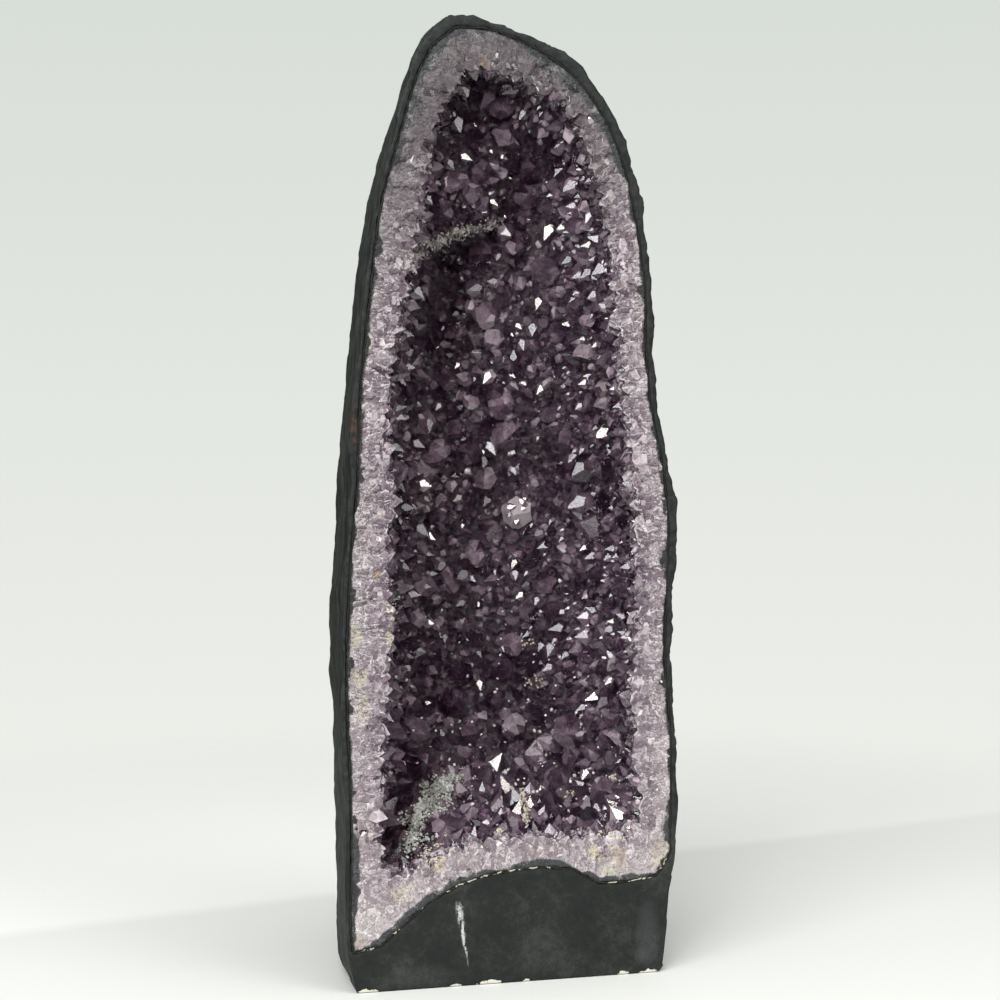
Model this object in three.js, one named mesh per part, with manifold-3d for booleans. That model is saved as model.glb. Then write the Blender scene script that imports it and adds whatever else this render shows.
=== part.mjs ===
// An amethyst cathedral: one half of a tall geode, sawn open along its length.
// It has two separate bodies. The geode is one natural stone, a rind of agate lined with quartz
// and amethyst points that grew together. A painted cement jacket wraps its back and sides and
// runs down into a solid foot with a flat underside.
//
// Millimetres, +Z up. The sawn face looks towards -Y, and the origin is the middle of the footprint.

import * as THREE from "three";
import Module from "manifold-3d";

const wasm = await Module();
wasm.setup();

// Driving dimensions.
const HEIGHT = 600; // foot to crown
const DEPTH = 168; // sawn face to the back, at the widest place
const FACE_Y = -DEPTH / 2; // plane of the sawn face
const FIT_GAP = 0.3; // clearance between the stone and the jacket, at the sawn face
const BACK_GAP = 1.5; // the same clearance behind the stone, where the cement shrank off it
const SQUARENESS = 2.3; // of the jacket's level sections, where 2 is an ellipse
const TOOL_REACH = 20; // how far the cutting tools stand out of the sawn face
const POINT_HEIGHT = 0.55; // height of an amethyst point, as a share of its cell
const WANDER = 0.5; // how far a cell's corners stray, as a share of the cell

// How finely each surface is faceted.
const JACKET_AROUND = 26; // facets round the back of the jacket
const RIND_CELLS = { round: 72, deep: 8 }; // facets of the stone's outside
const LINING_CELLS = { round: 84, deep: 10 }; // amethyst points in the hollow

// The jacket's edges and depth at each height, as [z, value].
const JACKET_LEFT = [
  [0, -98], [14, -103], [60, -105], [120, -105], [180, -107], [240, -107], [290, -104],
  [350, -101], [385, -97], [430, -92], [480, -86], [510, -79], [540, -71], [562, -65],
  [580, -58], [591, -50], [HEIGHT, -38],
];
const JACKET_RIGHT = [
  [0, 98], [14, 101], [50, 105], [95, 110], [145, 110], [190, 105], [240, 106], [290, 109],
  [320, 105], [350, 98], [390, 93], [425, 93], [460, 88], [490, 84], [515, 77], [540, 68],
  [564, 51], [578, 38], [590, 8], [HEIGHT, -24],
];
const JACKET_DEPTH = [
  [0, 160], [14, 166], [60, DEPTH], [150, DEPTH], [250, 166], [350, 157], [430, 142], [480, 128],
  [520, 112], [550, 94], [575, 70], [590, 46], [HEIGHT, 18],
];
// The heights at which the jacket's surface turns quickly.
const JACKET_LEVELS = [0, 4, 14];
const CROWN_LEVELS = [562, 572, 580, 587, 593, 597, HEIGHT];
const LEVEL_STEP = 19;

// The edge of the stone in the sawn face, as [x, z], clockwise from its low left corner.
const RIND_EDGE = [
  [-101, 25], [-102, 60], [-102, 120], [-104, 170], [-104, 225], [-101, 275], [-97, 320],
  [-96, 360], [-93, 395], [-88, 440], [-83, 480], [-76, 508], [-69, 532], [-62, 556],
  [-54, 576], [-43, 588], [-31, 594], [-12, 592], [6, 586], [24, 577], [40, 566], [56, 547],
  [68, 524], [76, 500], [82, 470], [87, 435], [88, 395], [91, 362], [99, 325], [103, 290],
  [102, 245], [101, 200], [105, 155], [105, 105], [102, 66], [80, 60], [56, 60], [42, 69],
  [22, 72], [0, 71], [-24, 67], [-46, 58], [-64, 45], [-80, 31], [-91, 25],
];
// The edge of the hollow in the sawn face, in the same order.
const HOLLOW_EDGE = [
  [-79, 69], [-84, 95], [-84, 140], [-81, 185], [-77, 225], [-80, 265], [-76, 305],
  [-80, 340], [-79, 378], [-73, 412], [-65, 446], [-59, 480], [-53, 512], [-46, 542],
  [-36, 561], [-22, 570], [-5, 567], [13, 562], [28, 554], [42, 540], [52, 516], [60, 488],
  [66, 454], [70, 414], [74, 374], [78, 334], [83, 294], [83, 245], [81, 195], [82, 145],
  [86, 112], [86, 97], [66, 91], [38, 89], [12, 91], [-14, 90], [-36, 86], [-54, 78], [-68, 71],
];
// Both hulls close on a spine at the back. It runs between two heights, and leans with the stone.
// The edge above its floor is shared out along the spine; the floor all runs to the low end.
const RIND_SPINE = { low: 130, high: 480, floor: 110 };
const HOLLOW_SPINE = { low: 150, high: 478, floor: 115 };
const SPINE_LEAN = [[100, 1], [350, -2], [500, -9]];
const SPINE_WIDTH = 0.05; // width of the closing strip, as a share of the hull's own width
const RIND_DEPTH = [[130, 148], [250, 146], [350, 132], [430, 113], [480, 92]];
const HOLLOW_DEPTH = [[150, 118], [250, 124], [350, 110], [430, 92], [478, 72]];
// Where the lining stands forward of that depth (+) or falls back behind it (-).
const LINING_RELIEF = [
  { x: 14, z: 395, wide: 26, tall: 90, forward: 24 }, // rib down the middle
  { x: -34, z: 505, wide: 34, tall: 34, forward: 26 }, // shelf, high on the left
  { x: -38, z: 418, wide: 26, tall: 28, forward: -16 }, // pocket under the shelf
  { x: 40, z: 512, wide: 20, tall: 34, forward: -12 }, // pocket, high on the right
  { x: -30, z: 190, wide: 40, tall: 36, forward: -8 }, // pocket above the floor
  { x: 40, z: 250, wide: 30, tall: 70, forward: 12 }, // swelling on the right
];

// A smooth curve through stations [at, value], held level past its ends.
function profile(stations) {
  const slope = (i) => {
    const before = stations[Math.max(i - 1, 0)];
    const after = stations[Math.min(i + 1, stations.length - 1)];
    return (after[1] - before[1]) / (after[0] - before[0]);
  };
  return (at) => {
    const last = stations.length - 1;
    const t = THREE.MathUtils.clamp(at, stations[0][0], stations[last][0]);
    let i = 0;
    while (i < last - 1 && t > stations[i + 1][0]) i++;
    const [a, va] = stations[i];
    const [b, vb] = stations[i + 1];
    const span = b - a;
    const u = (t - a) / span;
    const rise = u * u * (3 - 2 * u);
    const bowIn = u * (1 - u) * (1 - u) * span * slope(i);
    const bowOut = u * u * (1 - u) * span * slope(i + 1);
    return va + (vb - va) * rise + bowIn - bowOut;
  };
}

// The same number from 0 to 1 each time for the same pair of counters.
function chance(i, j) {
  const wave = Math.sin(i * 127.1 + j * 311.7) * 43758.5453;
  return wave - Math.floor(wave);
}

// Low swells of a hand-laid cement skin, in millimetres.
function swell(x, y, z) {
  const broad = Math.sin(0.045 * z + 0.02 * x) * Math.cos(0.035 * y + 0.02 * z);
  const close = Math.sin(0.17 * z + 0.06 * x + 1.1) * Math.cos(0.08 * y + 0.4);
  return 1.1 * broad + 0.7 * close;
}

// A closed solid from vertices and triangles, turned so that its faces point out.
function solid(vertices, triangles) {
  const corner = (n) => new THREE.Vector3(...vertices[n]);
  let volume = 0;
  for (const [a, b, c] of triangles) volume += corner(a).dot(corner(b).cross(corner(c)));
  const facing = volume < 0 ? triangles.map(([a, b, c]) => [a, c, b]) : triangles;
  return new wasm.Manifold(
    new wasm.Mesh({
      numProp: 3,
      vertProperties: new Float32Array(vertices.flat()),
      triVerts: new Uint32Array(facing.flat()),
    }),
  );
}

// Triangles that fill a ring of vertices, found on the ring's flat outline.
function cap(ring, flat) {
  const turned = THREE.ShapeUtils.isClockWise(flat);
  const outline = turned ? [...flat].reverse() : flat;
  const order = turned ? [...ring].reverse() : ring;
  const found = THREE.ShapeUtils.triangulateShape(outline, []);
  return found.map((corners) => corners.map((n) => order[n]));
}

// Triangles across a narrow closed ring, laced from its lowest vertex to its highest.
function lace(vertices, ring) {
  const heights = ring.map((n) => vertices[n][2]);
  const low = heights.indexOf(Math.min(...heights));
  const high = heights.indexOf(Math.max(...heights));
  const side = (step) => {
    const met = [low];
    while (met.at(-1) !== high) met.push((met.at(-1) + step + ring.length) % ring.length);
    return met;
  };
  const [one, other] = [side(1), side(-1)];
  const triangles = [];
  let [a, b] = [0, 0];
  while (a < one.length - 1 || b < other.length - 1) {
    const onlyOne = b === other.length - 1;
    const both = a < one.length - 1 && !onlyOne;
    const climbOne = onlyOne || (both && heights[one[a + 1]] < heights[other[b + 1]]);
    const corners = [one[a], climbOne ? one[a + 1] : other[b + 1], other[b]];
    if (climbOne) a++;
    else b++;
    if (new Set(corners).size === 3) triangles.push(corners.map((n) => ring[n]));
  }
  return triangles;
}

// The outside of the jacket, stacked from level sections, each flat in front and round behind.
function jacketOutside() {
  const left = profile(JACKET_LEFT);
  const right = profile(JACKET_RIGHT);
  const depth = profile(JACKET_DEPTH);
  const levels = [...JACKET_LEVELS];
  const firstCrown = CROWN_LEVELS[0];
  for (let z = JACKET_LEVELS.at(-1) + LEVEL_STEP; z < firstCrown - LEVEL_STEP / 2; z += LEVEL_STEP)
    levels.push(z);
  levels.push(...CROWN_LEVELS);

  const vertices = [];
  const rings = levels.map((z) => {
    const middle = (left(z) + right(z)) / 2;
    const half = (right(z) - left(z)) / 2;
    const ring = [];
    for (let i = 0; i <= JACKET_AROUND; i++) {
      const turn = (Math.PI * i) / JACKET_AROUND;
      const side = Math.sign(Math.cos(turn));
      const x = half * side * Math.abs(Math.cos(turn)) ** (2 / SQUARENESS);
      const y = depth(z) * Math.abs(Math.sin(turn)) ** (2 / SQUARENESS);
      const lift = z > 0 ? swell(x, y, z) : 0;
      ring.push(vertices.length);
      vertices.push([middle + x + lift * Math.cos(turn), FACE_Y + y + lift * Math.sin(turn), z]);
    }
    return ring;
  });

  const triangles = [];
  for (let k = 0; k + 1 < rings.length; k++) {
    const [low, high] = [rings[k], rings[k + 1]];
    low.forEach((a, i) => {
      const next = (i + 1) % low.length;
      triangles.push([a, low[next], high[next]], [a, high[next], high[i]]);
    });
  }
  const flat = (ring) => ring.map((n) => new THREE.Vector2(vertices[n][0], vertices[n][1]));
  triangles.push(...cap(rings[0], flat(rings[0])).map(([a, b, c]) => [a, c, b]));
  triangles.push(...cap(rings.at(-1), flat(rings.at(-1))));
  return solid(vertices, triangles);
}

// A boat-shaped hull. It starts as an outline in the sawn face and closes on the spine behind.
function hull({ edge, spine, depth, cells, gaps, reach = 0, relief = [], points = false }) {
  const curve = new THREE.CatmullRomCurve3(edge.map(([x, z]) => new THREE.Vector3(x, 0, z)), true);
  const outline = curve.getSpacedPoints(cells.round).slice(0, -1);
  const highest = Math.max(...outline.map((p) => p.z));
  const lean = profile(SPINE_LEAN);
  const depthAt = profile(depth);

  const place = (p, turn) => {
    const share = Math.max(0, (p.z - spine.floor) / (highest - spine.floor));
    const back = spine.low + share * (spine.high - spine.low);
    const across = SPINE_WIDTH + (1 - SPINE_WIDTH) * Math.cos(turn);
    const deep = Math.sin(turn);
    const x = lean(back) + (p.x - lean(back)) * across;
    const z = back + (p.z - back) * across;
    let y = depthAt(back) - gaps.back;
    for (const r of relief)
      y -= r.forward * Math.exp(-(((x - r.x) / r.wide) ** 2) - ((z - r.z) / r.tall) ** 2);
    return [x, FACE_Y + y * deep, z];
  };

  const vertices = [];
  const addRing = (at) => {
    const start = vertices.length;
    outline.forEach((p, i) => vertices.push(at(p, i)));
    return outline.map((_, i) => start + i);
  };
  // The sawn outline is drawn in by the gap at its edge.
  const drawnIn = outline.map((p, i) => {
    const before = outline.at(i - 1);
    const after = outline[(i + 1) % outline.length];
    const along = after.clone().sub(before).normalize();
    return new THREE.Vector3(p.x + along.z * gaps.edge, 0, p.z - along.x * gaps.edge);
  });
  const rings = [];
  if (reach > 0) rings.push(addRing((p, i) => [drawnIn[i].x, FACE_Y - reach, drawnIn[i].z]));
  for (let j = 0; j <= cells.deep; j++)
    rings.push(
      addRing((p, i) => {
        const inside = points && j > 0 && j < cells.deep;
        const along = inside ? 0.5 * (j % 2) + WANDER * (chance(i, j) - 0.5) : 0;
        const back = inside ? WANDER * (chance(j, i) - 0.5) : 0;
        const neighbour = drawnIn.at((i + Math.sign(along)) % drawnIn.length);
        const from = drawnIn[i].clone().lerp(neighbour, Math.abs(along));
        return place(from, (Math.PI / 2) * ((j + back) / cells.deep));
      }),
    );

  const triangles = [];
  const firstCell = reach > 0 ? 1 : 0;
  for (let j = 0; j + 1 < rings.length; j++)
    for (let i = 0; i < outline.length; i++) {
      const next = (i + 1) % outline.length;
      const quad = [rings[j][i], rings[j][next], rings[j + 1][next], rings[j + 1][i]];
      if (points && j >= firstCell) triangles.push(...pointOn(vertices, quad, i, j));
      else triangles.push([quad[0], quad[1], quad[2]], [quad[0], quad[2], quad[3]]);
    }
  triangles.push(...cap(rings[0], outline.map((p) => new THREE.Vector2(p.x, p.z))));
  triangles.push(...lace(vertices, rings.at(-1)));
  return solid(vertices, triangles);
}

// Four facets that raise one amethyst point over a cell, into the hollow.
function pointOn(vertices, quad, i, j) {
  const [a, b, c, d] = quad.map((n) => new THREE.Vector3(...vertices[n]));
  const alongRow = b.clone().sub(a).add(c.clone().sub(d));
  const acrossRow = d.clone().sub(a).add(c.clone().sub(b));
  const inward = alongRow.clone().cross(acrossRow).normalize();
  const size = Math.min(alongRow.length(), acrossRow.length()) / 2;
  const tip = a.clone().add(b).add(c).add(d).multiplyScalar(0.25);
  tip.addScaledVector(alongRow, (chance(i, j) - 0.5) * 0.2);
  tip.addScaledVector(acrossRow, (chance(j, i) - 0.5) * 0.2);
  tip.addScaledVector(inward, size * POINT_HEIGHT * (0.6 + 0.8 * chance(i + 7, j + 3)));
  const top = vertices.length;
  vertices.push(tip.toArray());
  return quad.map((corner, n) => [corner, quad[(n + 1) % 4], top]);
}

const NO_GAPS = { edge: 0, back: 0 };
const rindShape = { edge: RIND_EDGE, spine: RIND_SPINE, depth: RIND_DEPTH, cells: RIND_CELLS };

// The cement jacket and its foot, with a pocket that the stone fills.
function jacket() {
  return jacketOutside().subtract(hull({ ...rindShape, gaps: NO_GAPS, reach: TOOL_REACH }));
}

// The stone, hollowed out by the lining's surface.
function geode() {
  const hollow = hull({
    edge: HOLLOW_EDGE,
    spine: HOLLOW_SPINE,
    depth: HOLLOW_DEPTH,
    cells: LINING_CELLS,
    gaps: NO_GAPS,
    reach: TOOL_REACH,
    relief: LINING_RELIEF,
    points: true,
  });
  return hull({ ...rindShape, gaps: { edge: FIT_GAP, back: BACK_GAP } }).subtract(hollow);
}

function piece(name, shape, look) {
  const { vertProperties, triVerts } = shape.getMesh();
  const geometry = new THREE.BufferGeometry();
  geometry.setAttribute("position", new THREE.BufferAttribute(vertProperties, 3));
  geometry.setIndex(new THREE.BufferAttribute(triVerts, 1));
  geometry.computeVertexNormals();
  const mesh = new THREE.Mesh(geometry, new THREE.MeshStandardMaterial(look));
  mesh.name = name;
  return mesh;
}

const cathedral = new THREE.Group();
cathedral.add(
  piece("cement_jacket", jacket(), { color: 0x2c302e, roughness: 0.72, metalness: 0 }),
  piece("amethyst_geode", geode(), { color: 0x6f5a72, roughness: 0.25, metalness: 0 }),
);

// The footprint's middle goes to the origin.
const box = new THREE.Box3().setFromObject(cathedral);
const middle = box.getCenter(new THREE.Vector3());
cathedral.position.set(-middle.x, -middle.y, 0);

export default cathedral;
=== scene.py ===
import math
from itertools import product

import bpy
import numpy as np
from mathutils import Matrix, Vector, noise
from mathutils.bvhtree import BVHTree
from mathutils.kdtree import KDTree


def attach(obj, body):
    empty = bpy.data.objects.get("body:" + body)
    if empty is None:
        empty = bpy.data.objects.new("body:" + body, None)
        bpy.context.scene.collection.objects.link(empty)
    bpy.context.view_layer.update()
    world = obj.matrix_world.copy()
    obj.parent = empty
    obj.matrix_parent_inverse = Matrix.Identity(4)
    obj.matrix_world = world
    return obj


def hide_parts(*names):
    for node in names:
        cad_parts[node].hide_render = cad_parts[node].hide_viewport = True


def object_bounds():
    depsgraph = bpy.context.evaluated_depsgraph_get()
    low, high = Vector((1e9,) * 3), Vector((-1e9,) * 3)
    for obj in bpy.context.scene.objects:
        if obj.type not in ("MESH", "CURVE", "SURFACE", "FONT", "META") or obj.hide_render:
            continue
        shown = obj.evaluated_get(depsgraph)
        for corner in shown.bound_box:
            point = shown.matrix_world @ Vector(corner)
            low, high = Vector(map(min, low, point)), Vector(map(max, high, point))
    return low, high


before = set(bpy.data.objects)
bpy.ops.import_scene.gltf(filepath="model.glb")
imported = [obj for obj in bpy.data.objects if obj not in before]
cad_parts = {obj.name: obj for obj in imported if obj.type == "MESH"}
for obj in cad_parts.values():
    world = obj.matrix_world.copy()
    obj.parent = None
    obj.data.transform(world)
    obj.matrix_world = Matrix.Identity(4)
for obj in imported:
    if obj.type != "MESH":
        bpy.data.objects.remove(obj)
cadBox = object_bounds()

mm = 0.001
faceY = cadBox[0].y  # plane of the sawn face
faceX = -1.5 * mm  # middle of the foot's front edge
chance = np.random.default_rng(4117)


def pick(piece):
    bpy.ops.object.select_all(action="DESELECT")
    piece.select_set(True)
    bpy.context.view_layer.objects.active = piece


def onFace(x, z, back=0.0):  # millimetres across and up the sawn face, and back from it
    return Vector((faceX + x * mm, faceY + back * mm, z * mm))


def copyNode(nodeName, pieceName, grain):  # a fine, even-meshed copy of a solid
    piece = bpy.data.objects.new(pieceName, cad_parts[nodeName].data.copy())
    bpy.context.scene.collection.objects.link(piece)
    piece.data.materials.clear()
    pick(piece)
    bpy.ops.object.mode_set(mode="EDIT")
    bpy.ops.mesh.select_all(action="SELECT")
    bpy.ops.mesh.remove_doubles(threshold=1e-5)
    bpy.ops.object.mode_set(mode="OBJECT")
    rings = sawnRings(piece.data)
    piece.data.remesh_voxel_size = grain
    bpy.ops.object.voxel_remesh()
    return piece, rings


def finerFront(piece):  # a mesh twice as fine on the sawn face
    where, _ = arraysOf(piece)
    front = piece.vertex_groups.new(name="front")
    front.add(np.flatnonzero(where[:, 1] < faceY + 1 * mm).tolist(), 1.0, "REPLACE")
    pick(piece)
    bpy.ops.object.mode_set(mode="EDIT")
    bpy.ops.mesh.select_all(action="DESELECT")
    piece.vertex_groups.active_index = front.index
    bpy.ops.object.vertex_group_select()
    bpy.ops.mesh.subdivide(number_cuts=1)
    bpy.ops.object.mode_set(mode="OBJECT")


def sawnRings(mesh):  # closed edges of the flat sawn face, longest first
    uses = {}
    for face in mesh.polygons:
        if face.normal.y < -0.99 and abs(face.center.y - faceY) < 0.1 * mm:
            for key in face.edge_keys:
                uses[key] = uses.get(key, 0) + 1
    links = {}
    for (a, b), count in uses.items():
        if count == 1:
            links.setdefault(a, []).append(b)
            links.setdefault(b, []).append(a)
    rings = []
    while links:
        start = min(links, key=lambda n: mesh.vertices[n].co.z)
        ring, here = [start], links[start][0]
        last = start
        while here != start:
            ring.append(here)
            last, here = here, next((n for n in links[here] if n != last), start)
        for n in ring:
            links.pop(n, None)
        points = np.array([mesh.vertices[n].co for n in ring])
        if len(points) > 20:
            rings.append(evenRing(points, 1.0 * mm))
    return sorted(rings, key=len, reverse=True)


def evenRing(points, step):  # the same ring, resampled at an even step
    closed = np.vstack([points, points[:1]])
    gone = np.concatenate([[0], np.cumsum(np.linalg.norm(np.diff(closed, axis=0), axis=1))])
    at = np.arange(0, gone[-1], step)
    return np.column_stack([np.interp(at, gone, closed[:, k]) for k in range(3)])


def arraysOf(piece):
    count = len(piece.data.vertices)
    where = np.empty(count * 3, np.float32)
    facing = np.empty(count * 3, np.float32)
    piece.data.vertices.foreach_get("co", where)
    piece.data.vertices.foreach_get("normal", facing)
    return where.reshape(-1, 3).astype(float), facing.reshape(-1, 3).astype(float)


def moveTo(piece, where):
    piece.data.vertices.foreach_set("co", where.astype(np.float32).ravel())
    piece.data.update()


def paint(piece, name, values):  # one number at each vertex, for the materials
    made = piece.data.attributes.new(name, "FLOAT", "POINT")
    made.data.foreach_set("value", np.asarray(values, np.float32))


def grainAt(points, size, seed=0.0, octaves=3):  # cloudy noise from about -1 to 1
    scaled = points / (np.asarray(size) * mm) + seed
    return np.array([noise.fractal(p, 1.0, 2.0, octaves) for p in scaled.tolist()])


def treeOf(points):
    tree = KDTree(len(points))
    for n, point in enumerate(points):
        tree.insert(point, n)
    tree.balance()
    return tree


def nearest(tree, points):  # index of and distance to the nearest point of the tree
    found = [tree.find(p) for p in points.tolist()]
    return np.array([f[1] for f in found]), np.array([f[2] for f in found])


def ramped(value, low, high):
    t = np.clip((value - low) / (high - low), 0, 1)
    return t * t * (3 - 2 * t)


def unit(rows):
    return rows / np.maximum(np.linalg.norm(rows, axis=-1, keepdims=True), 1e-9)


def finished(piece, material, replaced=None):
    piece.data.materials.append(material)
    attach(piece, "root")
    if replaced:
        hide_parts(replaced)


class Value:  # one value in a material, used in ordinary sums
    def __init__(self, maker, socket):
        self.maker, self.socket = maker, socket

    def math(self, kind, first, second=None):
        inputs = {0: first} if second is None else {0: first, 1: second}
        return self.maker.node("Math", {"operation": kind}, inputs)

    def __add__(self, other):
        return self.math("ADD", self, other)

    def __sub__(self, other):
        return self.math("SUBTRACT", self, other)

    def __rsub__(self, other):
        return self.math("SUBTRACT", other, self)

    def __mul__(self, other):
        return self.math("MULTIPLY", self, other)

    def __truediv__(self, other):
        return self.math("DIVIDE", self, other)

    def __pow__(self, other):
        return self.math("POWER", self, other)

    __radd__, __rmul__ = __add__, __mul__

    def least(self, other):
        return self.math("MINIMUM", self, other)

    def most(self, other):
        return self.math("MAXIMUM", self, other)

    def eased(self, low, high):  # 0 below low, 1 above high
        settings = {"interpolation_type": "SMOOTHSTEP"}
        return self.maker.node("MapRange", settings, {0: self, 1: low, 2: high})


class Maker:  # builds the nodes of one material, or of the world
    def __init__(self, name, world=None):
        self.owner = world or bpy.data.materials.new(name)
        self.owner.use_nodes = True
        self.tree = self.owner.node_tree
        self.tree.nodes.clear()
        self.place = self.node("TexCoord", out="Object")
        self.across = (self.node("SeparateXYZ", inputs={0: self.place}, out="X") - faceX) / mm
        self.up = self.node("SeparateXYZ", inputs={0: self.place}, out="Z") / mm
        self.behind = (self.node("SeparateXYZ", inputs={0: self.place}, out="Y") - faceY) / mm

    def node(self, kind, settings=None, inputs=None, out=0):
        made = self.tree.nodes.new("ShaderNode" + kind)
        for key, value in (settings or {}).items():
            if key == "stops":
                ramp = made.color_ramp.elements
                while len(ramp) < len(value):
                    ramp.new(0.5)
                for stop, (at, colour) in zip(ramp, value):
                    stop.position, stop.color = at, (*colour, 1)
            else:
                setattr(made, key, value)
        for key, value in (inputs or {}).items():
            if isinstance(value, Value):
                self.tree.links.new(value.socket, made.inputs[key])
            else:
                made.inputs[key].default_value = value
        return Value(self, made.outputs[out])

    def attribute(self, name):
        return self.node("Attribute", {"attribute_name": name}, out="Fac")

    def cloud(self, size, detail=3.0, rough=0.55, stretch=None):  # noise with features of this size
        where = self.place
        if stretch:
            where = self.node("VectorMath", {"operation": "MULTIPLY"}, {0: where, 1: stretch})
        inputs = {"Vector": where, "Scale": 1 / (size * mm), "Detail": detail, "Roughness": rough}
        return self.node("TexNoise", inputs=inputs)

    def cellEdges(self, size):  # 0 along the borders of irregular cells
        inputs = {"Vector": self.place, "Scale": 1 / (size * mm)}
        return self.node("TexVoronoi", {"feature": "DISTANCE_TO_EDGE"}, inputs)

    def mix(self, factor, first, second):  # colours
        colours = [c if isinstance(c, Value) else (*c, 1) for c in (first, second)]
        inputs = {0: factor, 6: colours[0], 7: colours[1]}
        return self.node("Mix", {"data_type": "RGBA"}, inputs, 2)

    def ramp(self, value, *stops):
        return self.node("ValToRGB", {"stops": stops}, {0: value})

    def bump(self, height, depth, under=None):
        inputs = {"Height": height, "Distance": depth * mm, "Strength": 1.0}
        if under:
            inputs["Normal"] = under
        return self.node("Bump", inputs=inputs)

    def spot(self, x, z, wide, high):  # 1 in the middle of an oval on the front, 0 at its edge
        gone = ((self.across - x) / wide) ** 2.0 + ((self.up - z) / high) ** 2.0
        return (1 - gone).most(0.0)

    def surface(self, inputs, volume=None, over=None, share=None):
        shader = self.node("BsdfPrincipled", inputs=inputs)
        if over:  # a second finish, showing by the given share
            second = self.node("BsdfPrincipled", inputs=over)
            shader = self.node("MixShader", inputs={0: share, 1: shader, 2: second})
        given = {"Surface": shader}
        if volume:
            given["Volume"] = self.node("VolumeAbsorption", inputs=volume)
        return self.output("Material", given)

    def output(self, kind, given):
        end = self.tree.nodes.new("ShaderNodeOutput" + kind)
        for key, value in given.items():
            self.tree.links.new(value.socket, end.inputs[key])
        return self.owner


def crystalMaterial(name, look):
    m = Maker(name)
    tint, rise, sawn = m.attribute("tint"), m.attribute("rise"), m.attribute("sawn")
    veil = m.cloud(look["veil"], 4.0, 0.62)
    wisps = m.cloud(1.3, 3.0, 0.65)
    # a random painted light or shade on each flat face of a crystal, lightening or darkening its body
    # colour
    facet = m.attribute("facet") - 0.5
    body = m.ramp(tint * 0.65 + veil * 0.45 + facet * look["facets"] - 0.05, *look["colours"])
    lace = (1 - m.cellEdges(look["laceSize"]).eased(0.015, 0.07)) * look["lace"]
    flaws = (wisps.eased(0.55, 0.7) * look["wisps"]).most(sawn * 0.25).most(lace)
    flaws = flaws.most(rise.eased(0.72, 0.98) * look["tips"])
    milky = m.mix(flaws, body, look["wispColour"])
    stained = m.mix(m.cloud(26.0, 2.0).eased(0.56, 0.72) * look["stain"], milky, look["stainColour"])
    atCrown = (m.up - m.across * 0.3).eased(410, 560)
    stained = m.mix(atCrown * look["smoky"], stained, (0.055, 0.045, 0.050))
    roughness = 0.03 + m.attribute("frost") * look["frost"] + wisps.eased(0.5, 0.8) * look["haze"]
    ripple = m.bump(m.cloud(2.4, 3.0), look["ripple"])
    # the painted light or shade of each face also changes how milky that face is
    share = look["cloudy"] + (tint - 0.5) * 0.9 + (veil - 0.5) * 0.9 + (0.5 - rise) * 0.2 + facet * 0.4
    share = share.most(0.06).least(0.92)
    return m.surface(
        {
            "Base Color": m.mix(tint, look["clearColours"][0], look["clearColours"][1]),
            "Roughness": roughness,
            "Transmission Weight": 1.0,
            "IOR": 1.544,
            "Normal": ripple,
        },
        {"Color": (*look["absorbs"], 1), "Density": look["density"]},
        {"Base Color": stained, "Roughness": roughness, "IOR": 1.544, "Specular IOR Level": 0.8,
         "Normal": ripple},
        share,
    )


amethystLook = {
    "colours": [(0.0, (0.030, 0.016, 0.029)), (0.35, (0.115, 0.066, 0.102)),
                (0.65, (0.26, 0.180, 0.235)), (1.0, (0.56, 0.49, 0.52))],
    "clearColours": [(0.70, 0.50, 0.70), (0.94, 0.87, 0.92)],
    "smoky": 0.0,  # how much darker towards the crown
    # how strongly each flat face is painted lighter or darker, as painted light and shade
    "facets": 0.5,
    "ripple": 0.006,
    "laceSize": 9.0,
    "lace": 0.0,
    "veil": 7.0,
    "wisps": 0.22,
    "wispColour": (0.55, 0.48, 0.52),
    "stain": 0.35,
    "stainColour": (0.16, 0.13, 0.10),
    "frost": 0.07,
    "tips": 0.12,
    "haze": 0.0,
    "cloudy": 0.44,
    "absorbs": (0.66, 0.38, 0.66),
    "density": 70.0,
}
paleLook = {
    "colours": [(0.0, (0.09, 0.052, 0.08)), (0.35, (0.19, 0.125, 0.17)), (0.65, (0.32, 0.25, 0.295)),
                (1.0, (0.58, 0.53, 0.55))],
    "clearColours": [(0.80, 0.70, 0.82), (0.95, 0.92, 0.95)],
    "smoky": 0.85,
    # how strongly each flat face is painted lighter or darker, as painted light and shade
    "facets": 0.5,
    "ripple": 0.03,
    "laceSize": 6.0,
    "lace": 0.75,
    "veil": 3.5,
    "wisps": 0.7,
    "wispColour": (0.66, 0.61, 0.62),
    "stain": 0.25,
    "stainColour": (0.34, 0.27, 0.17),
    "frost": 0.25,
    "tips": 0.75,
    "haze": 0.15,
    "cloudy": 0.72,
    "absorbs": (0.80, 0.68, 0.83),
    "density": 60.0,
}


# crystal shapes are cut from a six-sided bar, as a lapidary would
faceSlope = math.radians(51.8)  # from a point's axis to the normal of one of its end faces
deepestRoot = 14 * mm  # so that no crystal passes through the wall


def takeShape(made):  # its corners and triangles, with the object itself cleared away
    corners = np.array([v.co for v in made.data.vertices])
    faces = np.array([f.vertices for f in made.data.polygons if len(f.vertices) == 3])
    spare = made.data
    bpy.data.objects.remove(made)
    bpy.data.meshes.remove(spare)
    return corners, faces


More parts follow.
